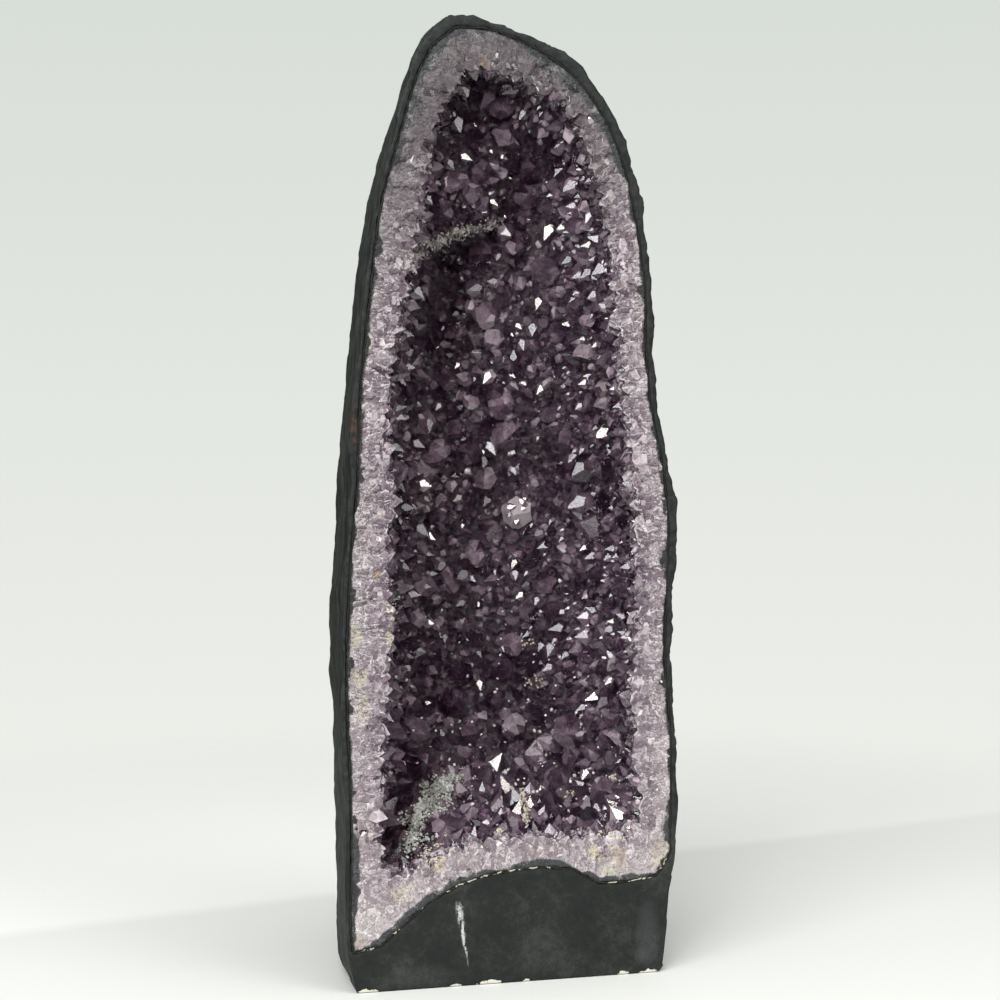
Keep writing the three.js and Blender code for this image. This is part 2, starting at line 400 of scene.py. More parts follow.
def cutPoint(length, uneven, alternate):  # alternate raises every second end face
    bpy.ops.mesh.primitive_cylinder_add(vertices=6, radius=0.5, depth=length + 1, location=(0, 0, 0))
    bar = bpy.context.object
    bpy.ops.object.mode_set(mode="EDIT")
    bpy.ops.mesh.select_all(action="SELECT")
    bpy.ops.transform.translate(value=(0, 0, (1 - length) / 2))
    for k in range(6):
        turn = math.radians(60 * k + 30)
        across = math.sin(faceSlope)
        normal = (across * math.cos(turn), across * math.sin(turn), math.cos(faceSlope))
        lift = uneven * chance.random() + (alternate if k % 2 else 0.0)
        bpy.ops.mesh.select_all(action="SELECT")
        bpy.ops.mesh.bisect(plane_co=(0, 0, 0.3 + lift), plane_no=normal,
                            use_fill=True, clear_outer=True)
    bpy.ops.mesh.select_all(action="SELECT")
    bpy.ops.mesh.remove_doubles(threshold=0.004)
    bpy.ops.mesh.normals_make_consistent(inside=False)
    bpy.ops.mesh.quads_convert_to_tris()
    bpy.ops.object.mode_set(mode="OBJECT")
    return takeShape(bar)


def turnsTo(axes, spins):  # rotation matrices that stand a crystal along each axis
    axes = unit(axes)
    helper = np.where(np.abs(axes[:, 2:3]) < 0.9, [[0.0, 0.0, 1.0]], [[1.0, 0.0, 0.0]])
    side = unit(np.cross(helper, axes))
    other = np.cross(axes, side)
    c, s = np.cos(spins)[:, None], np.sin(spins)[:, None]
    return np.stack([side * c + other * s, other * c - side * s, axes], axis=2)


def turnsFacing(normals, glints):  # the same, with one end face turned square to each glint
    glints = unit(glints)
    sideways = unit(normals - np.einsum("ij,ij->i", normals, glints)[:, None] * glints)
    axes = math.cos(faceSlope) * glints + math.sin(faceSlope) * sideways
    toFace = unit(glints - np.einsum("ij,ij->i", glints, axes)[:, None] * axes)
    across = np.cross(axes, toFace)
    c, s = math.cos(math.radians(30)), math.sin(math.radians(30))
    return np.stack([c * toFace - s * across, s * toFace + c * across, axes], axis=2)


def grow(name, shapes, roots, turns, sizes, tints, frosts, uneven=0.18, trim=None, plain=False):
    # one joined mesh of crystals, each rooted at its own point
    count = len(roots)
    kinds = np.where(plain, chance.integers(plainPoints, size=count),
                     chance.integers(len(shapes), size=count))
    scale = sizes[:, None] * (1 + chance.uniform(-1, 1, (count, 3)) * np.reshape(uneven, (-1, 1)))
    corners, faces, paintedFacetLights, start = [], [], [], 0
    numbers = {"tint": [], "rise": [], "frost": [], "sawn": []}
    for kind, (shape, triangles) in enumerate(shapes):
        these = np.flatnonzero(kinds == kind)
        if not len(these):
            continue
        bars = shape[None] * scale[these][:, None, :]
        bars[:, :, 2] = np.maximum(bars[:, :, 2], -deepestRoot)
        grown = np.einsum("nij,nkj->nki", turns[these], bars)
        grown += roots[these][:, None, :]
        cut = np.full(grown.shape[:2], faceY)
        if trim is not None:  # sawn off at a level and slope of its own
            level, slopeX, slopeZ = trim[these].T[:, :, None]
            offset = grown - roots[these][:, None, :]
            cut = faceY - level + slopeX * offset[:, :, 0] + slopeZ * offset[:, :, 2]
        numbers["sawn"].append((grown[:, :, 1] <= cut).ravel() & (trim is not None))
        grown[:, :, 1] = np.maximum(grown[:, :, 1], cut)
        corners.append(grown.reshape(-1, 3))
        a, b, c = (shape[triangles[:, k]] for k in range(3))
        _, flats = np.unique(np.round(unit(np.cross(b - a, c - a)), 1), axis=0, return_inverse=True)
        # a random painted light or shade for each flat face of each crystal
        paintedFacetLights.append(chance.random((len(these), flats.max() + 1))[:, flats.ravel()].ravel())
        offsets = start + len(shape) * np.arange(len(these))
        faces.append((triangles[None] + offsets[:, None, None]).reshape(-1, 3))
        start += len(shape) * len(these)
        low, high = shape[:, 2].min(), shape[:, 2].max()
        numbers["tint"].append(np.repeat(tints[these], len(shape)))
        numbers["rise"].append(np.tile((shape[:, 2] - low) / (high - low), len(these)))
        numbers["frost"].append(np.repeat(frosts[these], len(shape)))
    mesh = bpy.data.meshes.new(name)
    mesh.from_pydata(np.vstack(corners).tolist(), [], np.vstack(faces).tolist())
    piece = bpy.data.objects.new(name, mesh)
    bpy.context.scene.collection.objects.link(piece)
    for key, parts in numbers.items():
        paint(piece, key, np.concatenate(parts))
    # kept on each face, as the painted light or shade of that face
    mesh.attributes.new("facet", "FLOAT", "FACE").data.foreach_set("value", np.concatenate(paintedFacetLights))
    print(name, len(mesh.polygons), "triangles")
    return piece


def spread(points, sizes, crowding):  # picks points in order, each clear of those before it
    cell = sizes.max() * crowding
    taken, kept = {}, []

    def isClear(n, i, j, k):
        for di, dj, dk in product((-1, 0, 1), repeat=3):
            for other in taken.get((i + di, j + dj, k + dk), ()):
                gap = (sizes[n] + sizes[other]) / 2 * crowding
                if np.sum((points[n] - points[other]) ** 2) < gap * gap:
                    return False
        return True

    for n, place in enumerate(np.floor(points / cell).astype(int).tolist()):
        if isClear(n, *place):
            taken.setdefault(tuple(place), []).append(n)
            kept.append(n)
    return np.array(kept)


# the camera comes first, because the feature crystals are found along its sight lines
camera = {
    "azimuth": 15.0,  # degrees round to the left
    "distance": 1.35,  # metres from the sawn face, along the floor
    "height": 0.3757,
    "aim": 14.70,  # degrees right of straight back
    "pitch": -3.06,
    "view": 25.84,  # degrees across
}


def makeCamera():
    lens = bpy.data.cameras.new("camera")
    lens.angle = math.radians(camera["view"])
    lens.clip_start, lens.clip_end = 0.05, 30
    holder = bpy.data.objects.new("camera", lens)
    bpy.context.scene.collection.objects.link(holder)
    turn = math.radians(camera["azimuth"])
    away = camera["distance"]
    holder.location = (faceX - away * math.sin(turn), faceY - away * math.cos(turn), camera["height"])
    holder.rotation_euler = (math.radians(90 + camera["pitch"]), 0, -math.radians(camera["aim"]))
    bpy.context.scene.camera = holder
    return holder.location.copy()


eye = makeCamera()
fillPlace = (1.4, -1.8, 1.0)
lampPlace = (-0.75, -1.9, 1.5)
windowPlace = (-1.6, -1.7, 1.2)


# the stone: agate rind, quartz band and the lining that the crystals stand on
stone = {
    "grain": 2.65 * mm,
    "band": 26.0,  # width of the quartz band, in millimetres
    "cellWidth": 6.0,  # of a broken quartz column in the sawn face
    "cellLength": 15.0,
    "cellHeight": 1.0,
    "groove": 0.35,  # depth between columns
    "lobe": 13.0,  # width of a lobe of the quartz at the hollow's edge
    "lobeReach": 4.4,
    "ragged": (1.6, 0.8),  # reach of the coarse and fine notches on the lobes
    "edgeDepth": (5, 14),  # behind the face, where the lobes begin to fade and are gone
    # height up the stone, and the agate's width there
    "agate": [(0, 3.5), (95, 3.0), (120, 1.4), (430, 1.4), (500, 2.4), (560, 4.5), (600, 5.5)],
}


def facesHollow(where, facing):  # turned towards an upright line down the mouth of the hollow
    middle = np.column_stack([np.full(len(where), faceX), np.full(len(where), faceY),
                              np.clip(where[:, 2], 150 * mm, 500 * mm)])
    return np.einsum("ij,ij->i", facing, middle - where) > 0


def makeStone():
    piece, rings = copyNode("amethyst_geode", "geodeStone", stone["grain"])
    outer, inner = rings[0], rings[1]
    where, facing = arraysOf(piece)
    group = piece.vertex_groups.new(name="lining")
    wall = facesHollow(where, facing) & (where[:, 1] > faceY + 2 * mm)
    group.add(np.flatnonzero(wall).tolist(), 1.0, "REPLACE")
    pick(piece)
    smoother = piece.modifiers.new("smooth", "SMOOTH")
    smoother.factor, smoother.iterations, smoother.vertex_group = 0.5, 24, "lining"
    bpy.ops.object.modifier_apply(modifier="smooth")
    finerFront(piece)
    return piece, outer, inner


geode, rindRing, hollowRing = makeStone()
onward = np.roll(hollowRing, -1, 0)
ringArea = np.sum(hollowRing[:, 0] * onward[:, 2] - hollowRing[:, 2] * onward[:, 0])
hollowTurn = -np.sign(ringArea)  # which side of the ring is the hollow
rindTree, hollowTree = treeOf(rindRing), treeOf(hollowRing)

ledge = {
    "line": [(-80, 432), (-66, 447), (-51, 460), (-39, 465), (-26, 470), (-12, 473)],  # as seen
    "jut": 11.0,  # forward above the line
    "margin": 6.0,  # left free behind the sawn face
    "undercut": 9.0,  # back below it
}


def ledgeStep(where):  # how far the lining steps forward or back, an overhang high on the left
    eyeAt = np.array(eye)
    seen = eyeAt + (where - eyeAt) * ((faceY - eyeAt[1]) / (where[:, 1:2] - eyeAt[1]))
    across, up = (seen[:, 0] - faceX) / mm, seen[:, 2] / mm
    lineX, lineZ = np.array(ledge["line"]).T
    over = up - np.interp(across, lineX, lineZ)
    left, right = lineX[0], lineX[-1]
    beside = ramped(across, left - 6, left + 8) * (1 - ramped(across, right - 8, right + 8))
    room = np.clip((where[:, 1] - faceY) / mm - ledge["margin"], 0, ledge["jut"])
    forward = room * ramped(over, -1.5, 1.5) * (1 - ramped(over, 8, 40))
    back = ledge["undercut"] * (1 - ramped(over, -1.5, 1.5)) * ramped(over, -45, -10)
    return beside * (back - forward) * mm


def towardHollow(at):  # unit vectors in the sawn face, from the hollow's edge into the hollow
    run = unit(hollowRing[(at + 6) % len(hollowRing)] - hollowRing[(at - 6) % len(hollowRing)])
    return np.column_stack([run[:, 2], np.zeros(len(run)), -run[:, 0]]) * hollowTurn


def lobesAt(along, where):  # the hollow's edge swells between notches
    count = round(len(hollowRing) / stone["lobe"])
    swing = along * count / len(hollowRing) + 1.2 * grainAt(where, (30, 60, 30), 1.9)
    return np.abs(np.sin(math.pi * swing)) - 0.45


def dressStone(piece):
    where, facing = arraysOf(piece)
    front = (facing[:, 1] < -0.7) & (where[:, 1] < faceY + 2 * mm)
    flat = where.copy()
    flat[:, 1] = faceY
    _, fromRind = nearest(rindTree, flat)
    along, fromHollow = nearest(hollowTree, flat)
    wall = facesHollow(where, facing) & ~front

    # broken quartz columns across the sawn face, each with its own height and tilt
    count = int(len(hollowRing) * stone["band"] / (stone["cellWidth"] * stone["cellLength"]))
    seeds = np.column_stack([chance.uniform(0, len(hollowRing), count) / stone["cellWidth"],
                             chance.uniform(-2, 40, count) / stone["cellLength"], np.zeros(count)])
    seedTree = treeOf(seeds)
    at = np.column_stack([along / stone["cellWidth"], fromHollow / mm / stone["cellLength"],
                          np.zeros(len(where))])
    at[:, 0] += 0.35 * grainAt(where, (5, 5, 5), 3.7)
    at[:, 1] += 0.25 * grainAt(where, (5, 5, 5), 8.8)
    found = [seedTree.find_n(p, 2) for p in at.tolist()]
    cell = np.array([f[0][1] for f in found])
    edge = np.array([f[1][2] - f[0][2] for f in found])
    lean = chance.normal(0, 0.6, (count, 2))
    lift = chance.uniform(-0.9, 0.6, count)
    rise = lift[cell] + np.einsum("ij,ij->i", (at - seeds[cell])[:, :2], lean[cell])
    quartz = front * ramped(fromRind, 3 * mm, 6 * mm)
    rough = grainAt(where, (3, 3, 3), 7.3)
    height = rise * stone["cellHeight"] + 0.45 * rough - stone["groove"] * (edge < 0.12)
    where[:, 1] -= quartz * height * mm
    crust = grainAt(where, (7, 7, 7), 2.1)
    where += facing * (wall * (0.9 * crust))[:, None] * mm
    where[:, 1] += wall * ledgeStep(where)
    # a ragged inner edge
    inward = towardHollow(along)
    fadeFrom, fadeTo = stone["edgeDepth"]
    near = 1 - ramped(fromHollow, 0, 7 * mm)
    near *= 1 - ramped(where[:, 1], faceY + fadeFrom * mm, faceY + fadeTo * mm)
    coarse, fine = stone["ragged"]
    reach = stone["lobeReach"] * lobesAt(along, where) + coarse * grainAt(where, (11, 40, 11), 1.9)
    reach = reach + fine * grainAt(where, (4.5, 20, 4.5), 6.1) + 1.0
    where += inward * (near * reach)[:, None] * mm
    moveTo(piece, where)
    paint(piece, "fromRind", fromRind)
    paint(piece, "fromHollow", fromHollow)
    # the rim's length, wrapped round a circle so that it has no seam
    turned = along * 2 * math.pi / len(hollowRing)
    paint(piece, "runX", len(hollowRing) / 2 / math.pi * np.cos(turned))
    paint(piece, "runY", len(hollowRing) / 2 / math.pi * np.sin(turned))
    paint(piece, "sawn", front)
    paint(piece, "inside", wall)
    bands = np.interp(where[:, 2], [z * mm for z, _ in stone["agate"]], [t for _, t in stone["agate"]])
    paint(piece, "agateWide", bands * mm)
    return wall


lining = dressStone(geode)
print("stone", len(geode.data.polygons), "faces")

yellow, rust, brown = (0.42, 0.37, 0.24), (0.20, 0.11, 0.05), (0.07, 0.04, 0.03)
stains = [  # across, up, width, height, colour
    (-85, 259, 4, 6, rust), (-80, 244, 6, 5, yellow), (-75, 222, 6, 10, (0.50, 0.46, 0.32)),
    (-99, 222, 6, 10, yellow), (-96, 196, 7, 9, yellow), (-94, 176, 6, 12, (0.48, 0.45, 0.32)),
    (-84, 520, 7, 8, yellow), (-18, 571, 4, 4, rust), (2, 569, 5, 5, brown), (-75, 386, 4, 2.5, brown),
    (60, 80, 14, 7, (0.55, 0.48, 0.28)), (72, 76, 6, 10, (0.34, 0.24, 0.15)), (100, 74, 11, 15, yellow),
    (64, 66, 8, 9, (0.46, 0.46, 0.33)), (-50, 80, 10, 12, (0.60, 0.52, 0.30)),
    (-70, 62, 12, 8, (0.50, 0.44, 0.34)), (-99, 30, 9, 8, (0.36, 0.26, 0.18)),
    (-92, 400, 6, 8, (0.48, 0.42, 0.30)),
]


def stoneMaterial():
    m = Maker("sawnGeode")
    fromRind, toHollow = m.attribute("fromRind") / mm, m.attribute("fromHollow") / mm
    front, wall = m.attribute("sawn"), m.attribute("inside")
    waver, fine = m.cloud(9.0, 3.0), m.cloud(1.0, 3.0, 0.7)
    middling = m.cloud(3.2, 3.0, 0.6)
    bites = m.cloud(16.0, 3.0, 0.6)
    depth = fromRind + (waver - 0.5) * 5.0 - bites.eased(0.54, 0.66) * 3.2 + (fine - 0.5) * 1.6
    # blue-grey agate in fine parallel bands
    inputs = {"W": depth * 0.9, "Scale": 1.0, "Detail": 2.0}
    bands = m.node("TexNoise", {"noise_dimensions": "1D"}, inputs)
    agate = m.ramp(bands, (0.3, (0.012, 0.013, 0.015)), (0.48, (0.032, 0.037, 0.042)),
                   (0.6, (0.085, 0.092, 0.098)), (0.75, (0.020, 0.022, 0.026)))
    # quartz columns cut through, longer across the band than along it
    runX, runY = m.attribute("runX"), m.attribute("runY")
    stray = (waver - 0.5) * 1.8 + (middling - 0.5) * 1.5
    crossing = toHollow / 13.0 + (middling - 0.5) * 0.9 + (waver - 0.5) * 1.0
    cut = m.node("CombineXYZ", inputs={0: runX / 5.0 + stray, 1: runY / 5.0 + stray, 2: crossing})
    thread = m.node("CombineXYZ", inputs={0: runX / 0.8 + (middling - 0.5) * 5.0, 1: runY / 0.8,
                                          2: toHollow / 2.6 + (waver - 0.5) * 4.0})
    lace = m.node("TexVoronoi", {"feature": "DISTANCE_TO_EDGE"}, {"Vector": cut, "Scale": 1.0})
    tone = m.node("TexVoronoi", {}, {"Vector": cut, "Scale": 1.0}, "Color")
    fibre = m.node("TexNoise", {}, {"Vector": thread, "Scale": 1.0, "Detail": 3.0})
    inner = 1 - (toHollow / 24.0 + (waver - 0.5) * 0.7)  # 1 at the hollow, 0 at the rind
    lilac = m.ramp(inner, (0.0, (0.24, 0.22, 0.22)), (0.45, (0.150, 0.112, 0.135)),
                   (1.0, (0.085, 0.050, 0.078)))
    mottle = (middling - 0.5) * 2.0 + (waver - 0.5) * 1.6 + (fine - 0.5) * 0.9
    patchy = (tone * 1.4 - 0.25 + mottle - inner * 0.35).most(0.0).least(1.0)
    grains = m.mix(patchy, lilac, (0.30, 0.26, 0.28))
    lines = (1 - lace.eased(0.01, 0.07)) * middling.eased(0.42, 0.52) * 0.85
    lines = lines.most((1 - toHollow.eased(0.4, 1.8)) * middling.eased(0.34, 0.46) * 0.9)
    outer = 1 - inner.eased(0.35, 0.95) * 0.85
    threads = fibre.eased(0.54, 0.66) * outer * waver.eased(0.40, 0.56) * 0.8
    sugar = fine.eased(0.58, 0.68) * (1 - inner.eased(0.2, 0.8) * 0.8)
    white = m.mix(lines.most(threads * 0.75).most(sugar * 0.85), grains, (0.64, 0.60, 0.60))
    pits = (1 - (fibre * 0.5 + fine * 0.5).eased(0.40, 0.46)) * 0.85
    quartz = m.mix(pits, white, (0.055, 0.038, 0.048))
    quartz = m.mix((1 - m.up.eased(80, 250)) * 0.15, quartz, (0.62, 0.56, 0.57))
    atCrown = (m.up - m.across * 0.3).eased(410, 560)
    quartz = m.mix(atCrown * 0.82, quartz, (0.055, 0.047, 0.050))
    speckled = (fine * 0.6 + middling * 0.4).eased(0.43, 0.57)
    for x, z, wide, high, colour in stains:
        stain = m.spot(x, z, wide, high).eased(0.0, 0.9) * speckled
        quartz = m.mix(stain * 0.75, quartz, colour)
    # the bands show at the crown and the foot
    atEnds = m.up.eased(450, 550).most(1 - m.up.eased(100, 125))
    agate = m.mix(atEnds, (0.010, 0.010, 0.010), agate)
    agate = m.mix(middling.eased(0.52, 0.68) * 0.8, agate, (0.012, 0.011, 0.012))
    flecks = (fine * 0.5 + waver * 0.5).eased(0.54, 0.62) * atEnds * 0.6
    agate = m.mix(flecks, agate, (0.30, 0.29, 0.28))
    agate = m.mix(depth.eased(0.8, 3.2), (0.012, 0.013, 0.013), agate)
    uneven = m.cloud(24.0, 2.0).eased(0.36, 0.64) * 1.35 + 0.2
    isQuartz = (depth - m.attribute("agateWide") / mm * uneven).eased(-0.6, 1.0)
    faceColour = m.mix(isQuartz, agate, quartz)
    base = m.mix(m.cloud(5.0, 4.0), (0.010, 0.006, 0.010), (0.06, 0.04, 0.055))
    shown = m.mix(front.eased(0.2, 0.8), (0.03, 0.03, 0.032), faceColour)
    colour = m.mix(wall, shown, base)
    relief = m.bump(lace.eased(0.0, 0.25) * 0.5 + tone * 0.5, 0.8)
    relief = m.bump(fine * 0.5 + fibre * 0.5, 0.5, relief)
    roughness = 0.20 + fine * 0.4
    return m.surface({"Base Color": colour, "Roughness": roughness, "Normal": relief})


finished(geode, stoneMaterial(), "amethyst_geode")


druse = {
    "size": (6.5, 11.5, 19.0),  # least, usual and most, in millimetres across
    "crowding": 0.74,
    "fill": (3.5, 6.5),  # the small points between
    "lowerGrowth": 0.42,  # how much larger the points are at the floor of the hollow
    "atFace": (4.5, 0.42),  # most at the sawn face, and its growth with each millimetre behind
    "lean": 0.46,  # how far the points stray from square to the wall
    "raised": (0.08, 0.5),  # of a point's root above the wall, as a share of its size
    # lights that some points throw forward: where, share of the points, and how far they stray
    "glints": [(lampPlace, 0.030, 0.05), (windowPlace, 0.13, 0.16), (fillPlace, 0.12, 0.2)],
    "parts": [("lowerPoints", 0, 0.22), ("middlePoints", 0.22, 0.40), ("upperPoints", 0.40, 1)],
}
plainPoints = 4  # the first few shapes, with end faces that are nearly even triangles
points = [cutPoint(0.9, 0.008, 0.004 * n) for n in range(plainPoints)]
points += [cutPoint(0.9, 0.035, 0.01 * n) for n in (2, 2, 3, 3, 4, 5, 6, 8, 10, 12, 14, 16)]
rimShapes = [cutPoint(0.5, 0.14, 0.06) for _ in range(12)]
drusePieces = []


def growDruse():
    where, facing = arraysOf(geode)
    sites = np.flatnonzero(lining & (where[:, 1] > faceY + 2.5 * mm))
    order = chance.permutation(sites)
    low, usual, high = druse["size"]
    sizes = np.clip(usual * np.exp(chance.normal(-0.06, 0.27, len(order))), low, high) * mm
    sizes *= 1 + druse["lowerGrowth"] * (1 - ramped(where[order, 2], 0.11, 0.20))
    most, growth = druse["atFace"]
    sizes = np.minimum(sizes, most * mm + growth * (where[order, 1] - faceY))
    kept = spread(where[order], sizes, druse["crowding"])
    roots, sizes = where[order][kept], sizes[kept]
    normals = facing[order][kept]
    print("druse", len(kept), "large of", len(order))
    small = np.delete(order, kept)
    smallSizes = chance.uniform(*druse["fill"], len(small)) * mm
    everything = np.vstack([roots, where[small]])
    widths = np.concatenate([sizes * 0.82, smallSizes])
    both = spread(everything, widths, 0.78)
    extra = both[both >= len(roots)] - len(roots)
    roots = np.vstack([roots, where[small][extra]])
    normals = np.vstack([normals, facing[small][extra]])
    sizes = np.concatenate([sizes, smallSizes[extra]])
    print("druse", len(roots), "in all")
    count = len(roots)
    normals = unit(normals)
    axes = normals + chance.normal(0, druse["lean"] / 1.7, (count, 3))
    turns = turnsTo(axes, chance.uniform(0, 2 * math.pi, count))
    draw = chance.random(count)
    toEye = unit(np.array(eye) - roots)
    catching = np.zeros(count, bool)
    for source, part, stray in druse["glints"]:
        glints = toEye + unit(np.array(source) - roots) + chance.normal(0, stray, (count, 3))
        these = (draw >= 0) & (draw < part) & (np.einsum("ij,ij->i", normals, unit(glints)) > 0.1)
        draw -= part
        turns[these] = turnsFacing(normals[these], glints[these])
        catching |= these
    uneven = np.where(catching, 0.0, 0.18)
    patches = grainAt(roots, (55, 55, 55), 5.7)
    tint = np.clip(0.40 + 0.22 * patches + chance.normal(0, 0.20, count), 0, 1)
    tint += 0.05 * (1 - ramped(roots[:, 2], 0.12, 0.20)) * (sizes > 9 * mm)
    frost = chance.random(count) ** 2 * ~catching
    raised = roots + normals * (sizes * chance.uniform(*druse["raised"], count))[:, None]
    material = crystalMaterial("amethyst", amethystLook)
    for name, low, high in druse["parts"]:
        here = (roots[:, 2] >= low) & (roots[:, 2] < high)
        piece = grow("amethyst_" + name, points, raised[here], turns[here], sizes[here], tint[here],
                     frost[here], uneven[here], plain=catching[here])
        finished(piece, material)
        drusePieces.append(piece)
    return material


amethyst = growDruse()


largePoints = [  # across and up as seen, width in millimetres, paleness, the light it throws forward
    (4, 296, 22, 1.0, None), (2, 163, 17, 0.8, None), (38, 158, 24, 0.5, None),
    (62, 118, 20, 0.7, None), (-4, 344, 22, 0.55, None), (-8, 361, 17, 0.6, None),
    (-3, 468, 14, 0.6, windowPlace), (-7, 546, 17, 0.6, None), (-4, 529, 19, 0.65, None),
    (38, 496, 12, 0.6, windowPlace), (-17, 318, 17, 0.75, None), (-22, 267, 15, 0.7, windowPlace),
    (-34, 180, 18, 0.5, None), (30, 128, 19, 0.55, None), (-20, 105, 20, 0.55, None),
    (-45, 480, 17, 0.55, None), (-38, 498, 15, 0.75, windowPlace), (22, 445, 20, 0.5, None),
    (45, 300, 17, 0.6, windowPlace), (-50, 330, 16, 0.6, None), (12, 235, 16, 0.45, None),
]

riders = [  # small bright points on the largest one
    (1, 299, 8, 0.8, lampPlace), (6, 303, 6, 0.8, lampPlace), (8, 298, 5, 0.8, lampPlace),
    (3, 290, 6, 0.8, lampPlace), (-1, 294, 5, 0.8, windowPlace),
]


def growChosen(name, chosen, under, lift):
    tree = BVHTree.FromObject(under, bpy.context.evaluated_depsgraph_get())
    roots, turns, widths, tints = [], [], [], []
    for x, z, width, tint, source in chosen:
        aim = (onFace(x, z) - eye).normalized()
        root, normal, _, _ = tree.ray_cast(eye, aim)
        if root is None:
            continue
        normal = np.array(normal)
        axis = unit(normal * 0.7 - np.array(aim) * 0.8 + chance.normal(0, 0.16, 3))
        if source:
            glint = np.array(unit(np.array(source) - np.array(root)) - np.array(aim))
            turns.append(turnsFacing(axis[None], glint[None])[0])
        else:
            turns.append(turnsTo(axis[None], chance.uniform(0, 6, 1))[0])
        roots.append(np.array(root) + axis * width * lift * mm)
        widths.append(width)
        tints.append(tint)
    piece = grow(name, points, np.array(roots), np.array(turns), np.array(widths) * mm,
                 np.array(tints), np.zeros(len(roots)), 0.06)
    finished(piece, amethyst)
    return piece


large = growChosen("amethyst_largePoints", largePoints, geode, 0.42)
growChosen("amethyst_riders", riders, large, 0.12)


# crusts and specks of other minerals: two colours, then patches of across, up, spread each way,
# count, and least and most size
crusts = {
    "tanCrust": ([(0.16, 0.15, 0.135), (0.55, 0.53, 0.49)],
                 [(x, z, 4.0, 1.4, 70, 0.5, 2.0) for x, z in ledge["line"][1:]] +
                 [((a + c) / 2, (b + d) / 2, 4.0, 1.4, 70, 0.5, 2.0)
                  for (a, b), (c, d) in zip(ledge["line"][1:], ledge["line"][2:])]),
    "greenCrust": ([(0.20, 0.215, 0.19), (0.66, 0.69, 0.64)],
                   [(-66, 90, 3, 3, 70, 0.7, 2.2), (-63, 98, 2, 4, 110, 0.7, 2.4),
                    (-60, 107, 2, 4, 120, 0.7, 2.6),
                    (-55, 115, 3, 3, 150, 0.7, 2.6), (-50, 122, 3, 3, 130, 0.7, 2.6),
                    (-44, 128, 3, 3, 110, 0.7, 2.4), (-37, 131, 3, 2, 60, 0.7, 2.2),
                    (-55, 127, 2, 3, 50, 0.7, 2.2), (-48, 113, 4, 2, 50, 0.7, 2.0),
                    (-68, 108, 3, 2, 40, 0.7, 2.0), (-41, 120, 2, 3, 40, 0.7, 2.0),
                    (-56, 94, 3, 2, 40, 0.7, 2.0)]),
    "creamCrust": ([(0.32, 0.27, 0.20), (0.72, 0.66, 0.56)],
                   [(9, 108, 1.4, 4, 60, 0.6, 2.2), (7, 118, 1.2, 3, 40, 0.6, 2.0),
                    (62, 90, 7, 2.4, 90, 0.5, 2.0), (64, 127, 2.4, 1.2, 30, 0.6, 2.0),
                    (-50, 86, 5, 3, 80, 0.6, 2.0), (-8, 96, 2, 2, 22, 0.6, 2.0),
                    (-78, 234, 3, 5, 60, 0.6, 2.0), (14, 190, 3, 2, 26, 0.6, 1.8),
                    (10, 215, 3, 2, 14, 0.9, 2.0), (38, 118, 2, 2, 12, 1.0, 2.4)]),
    "whiteSpecks": ([(0.60, 0.55, 0.50), (0.90, 0.86, 0.82)],
                    [(0, 175, 38, 34, 60, 1.2, 2.6), (20, 130, 34, 14, 30, 1.2, 2.8)]),
}


def roundGrain():
    bpy.ops.mesh.primitive_ico_sphere_add(subdivisions=1, radius=0.5, location=(0, 0, 0))
    grain = bpy.context.object
    bpy.ops.object.mode_set(mode="EDIT")
    bpy.ops.mesh.select_all(action="SELECT")
    bpy.ops.transform.vertex_random(offset=0.14, seed=int(chance.integers(999)))
    bpy.ops.transform.resize(value=(1, 1, float(chance.uniform(0.6, 1))))
    bpy.ops.object.mode_set(mode="OBJECT")
    return takeShape(grain)


def crustMaterial(name, colours):
    m = Maker(name)
    dark, light = colours
    colour = m.mix((m.attribute("tint") * 0.7 + m.cloud(1.5, 3.0) * 0.5 - 0.1), dark, light)
    return m.surface({"Base Color": colour, "Roughness": 0.45 + m.cloud(0.8) * 0.4,
                      "Normal": m.bump(m.cloud(0.6), 0.2)})


def growCrusts():
    graph = bpy.context.evaluated_depsgraph_get()
    trees = [BVHTree.FromObject(piece, graph) for piece in [geode, *drusePieces]]
    grains = [roundGrain() for _ in range(6)]
    for name, (colours, patches) in crusts.items():
        roots, normals, sizes = [], [], []
        for x, z, wide, high, count, least, most in patches:
            for _ in range(count):
                onto = onFace(x + chance.normal(0, wide), z + chance.normal(0, high))
                aim = (onto - eye).normalized()
                hits = [hit for hit in (tree.ray_cast(eye, aim) for tree in trees) if hit[0]]
                if not hits:
                    continue
                hit = min(hits, key=lambda one: one[3])
                roots.append(hit[0])
                normals.append(hit[1])
                sizes.append(chance.uniform(least, most) * mm)
        roots, normals = np.array(roots), np.array(normals)
        turns = turnsTo(normals, chance.uniform(0, 6, len(roots)))
        piece = grow("mineral_" + name, grains, roots, turns, np.array(sizes),
                     chance.random(len(roots)), np.zeros(len(roots)), 0.25)
        finished(piece, crustMaterial(name, colours))


growCrusts()


# pale quartz points that edge the hollow
rim = {
    "step": 5.2,
    "rows": [  # reach past the hollow's edge, depth behind the face, widths, paleness
        ((1.0, 6.5), (2.5, 7.0), (8.0, 13.0), 0.20),
        ((-1.0, 4.5), (0.0, 2.0), (7.5, 12.5), 0.38),
        ((-6.0, -1.0), (0.3, 2.0), (6.0, 10.0), 0.50),
    ],
    "lobes": 4.5,  # how much further they reach on a lobe
    "lean": 0.30,
    "proud": (-1.2, 0.4),  # of the sawn plane
}


